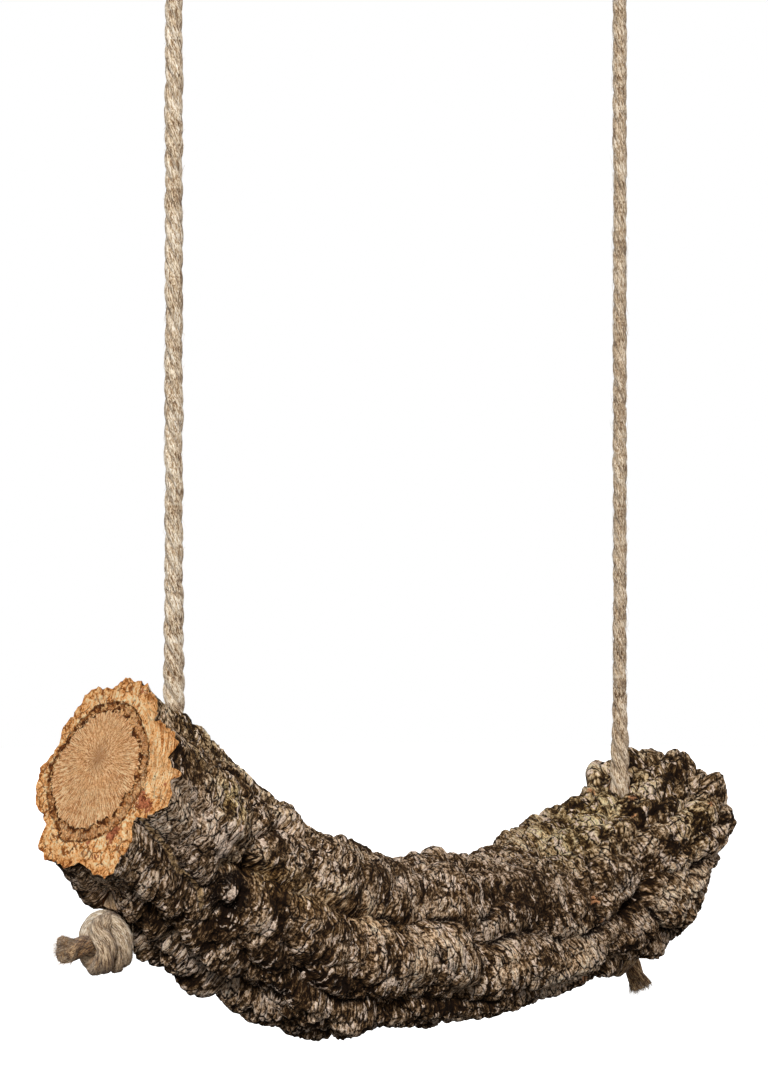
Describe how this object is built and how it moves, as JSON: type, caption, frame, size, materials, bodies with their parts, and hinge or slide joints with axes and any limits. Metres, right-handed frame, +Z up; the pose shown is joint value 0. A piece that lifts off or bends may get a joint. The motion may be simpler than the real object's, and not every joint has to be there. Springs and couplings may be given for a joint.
{
  "type": "hanging cork oak branch",
  "caption": "Curved cork oak branch with thick furrowed bark, drilled near both ends and hung level on two natural fibre ropes with stopper knots below and loops above.",
  "frame": {"origin": "midway between the two points where the rope loops hang on their hooks", "axes": "+X from the left rope to the right rope, along the branch; +Z up the ropes; the side seen from the front faces -Y"},
  "size_m": [0.4507, 0.1257, 0.7487],
  "materials": {
    "cork_bark": "rough dark furrowed cork bark, pale sawn wood at the ends",
    "rope_fibre": "hairy three-strand natural fibre rope"
  },
  "bodies": {
    "root": {"branch": "cork_bark", "rope_left": "rope_fibre", "stopper_left": "rope_fibre", "loop_left": "rope_fibre", "rope_right": "rope_fibre", "stopper_right": "rope_fibre", "loop_right": "rope_fibre"}
  },
  "joints": []
}
